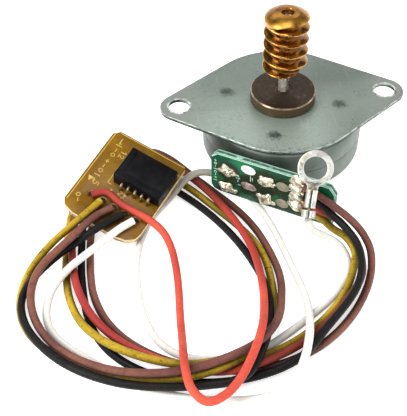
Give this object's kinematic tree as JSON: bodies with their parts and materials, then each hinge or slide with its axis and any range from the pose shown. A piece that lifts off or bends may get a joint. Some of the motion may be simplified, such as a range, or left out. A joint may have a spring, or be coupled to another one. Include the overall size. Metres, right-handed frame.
{
  "type": "stepper motor",
  "caption": "Small flanged permanent-magnet stepper motor with a brass worm on its shaft, a green terminal board and coloured leads running to a small connector board.",
  "frame": {"origin": "centre of the flat rear face of the rear cover, on the shaft axis", "axes": "+Z along the shaft axis towards the worm, +X through the two mounting ears, -Y side carries the terminal board and the leads"},
  "size_m": [0.0787, 0.0797, 0.0341],
  "materials": {
    "flange_steel": "zinc plated, satin, slightly tarnished",
    "can_steel": "drawn plated steel, satin",
    "pole_steel": "bare stamped steel",
    "bobbin_plastic": "moulded, matte",
    "coil_copper": "enamelled copper winding",
    "bearing_bronze": "oil-soaked sintered bronze, dark brown",
    "pin_metal": "tinned, bright",
    "board_green": "green solder mask, glossy",
    "tinned_metal": "tin plated, grainy",
    "lead_orange": "insulation, matte",
    "lead_yellow": "insulation, matte",
    "lead_brown": "insulation, matte",
    "lead_black": "insulation, matte",
    "lead_white": "insulation, matte",
    "board_amber": "amber solder mask over laminate, semi-gloss",
    "connector_black": "moulded nylon, matte",
    "shaft_steel": "ground steel, bright",
    "hub_plastic": "moulded",
    "magnet_ferrite": "sintered ferrite, matte",
    "worm_brass": "turned brass, bright",
    "washer_plastic": "sheet plastic",
    "spring_steel": "spring steel, bright"
  },
  "bodies": {
    "stator": {"front_flange": "flange_steel", "front_cup": "can_steel", "rear_cup": "can_steel", "front_inner_pole": "pole_steel", "rear_inner_pole": "pole_steel", "front_bobbin": "bobbin_plastic", "rear_bobbin": "bobbin_plastic", "front_coil": "coil_copper", "rear_coil": "coil_copper", "front_bearing": "bearing_bronze", "rear_bearing": "bearing_bronze", "rear_cover": "can_steel", "terminal_pin_1": "pin_metal", "terminal_pin_2": "pin_metal", "terminal_pin_3": "pin_metal", "terminal_pin_4": "pin_metal", "terminal_board": "board_green", "ring_terminal": "tinned_metal", "lead_orange": "lead_orange", "lead_yellow": "lead_yellow", "lead_brown": "lead_brown", "lead_black": "lead_black", "lead_white": "lead_white", "lead_board": "board_amber", "board_connector": "connector_black", "contact_1": "pin_metal", "contact_2": "pin_metal", "contact_3": "pin_metal", "contact_4": "pin_metal", "contact_5": "pin_metal"},
    "rotor": {"shaft": "shaft_steel", "rotor_hub": "hub_plastic", "rotor_magnet": "magnet_ferrite", "worm": "worm_brass", "front_thrust_washer": "washer_plastic", "preload_washer": "spring_steel", "rear_thrust_washer": "washer_plastic"}
  },
  "joints": [
    {"name": "rotor_spin", "type": "hinge", "parent": "stator", "child": "rotor", "pos_m": [0, 0, 0], "axis": [0, 0, 1], "continuous": true}
  ]
}
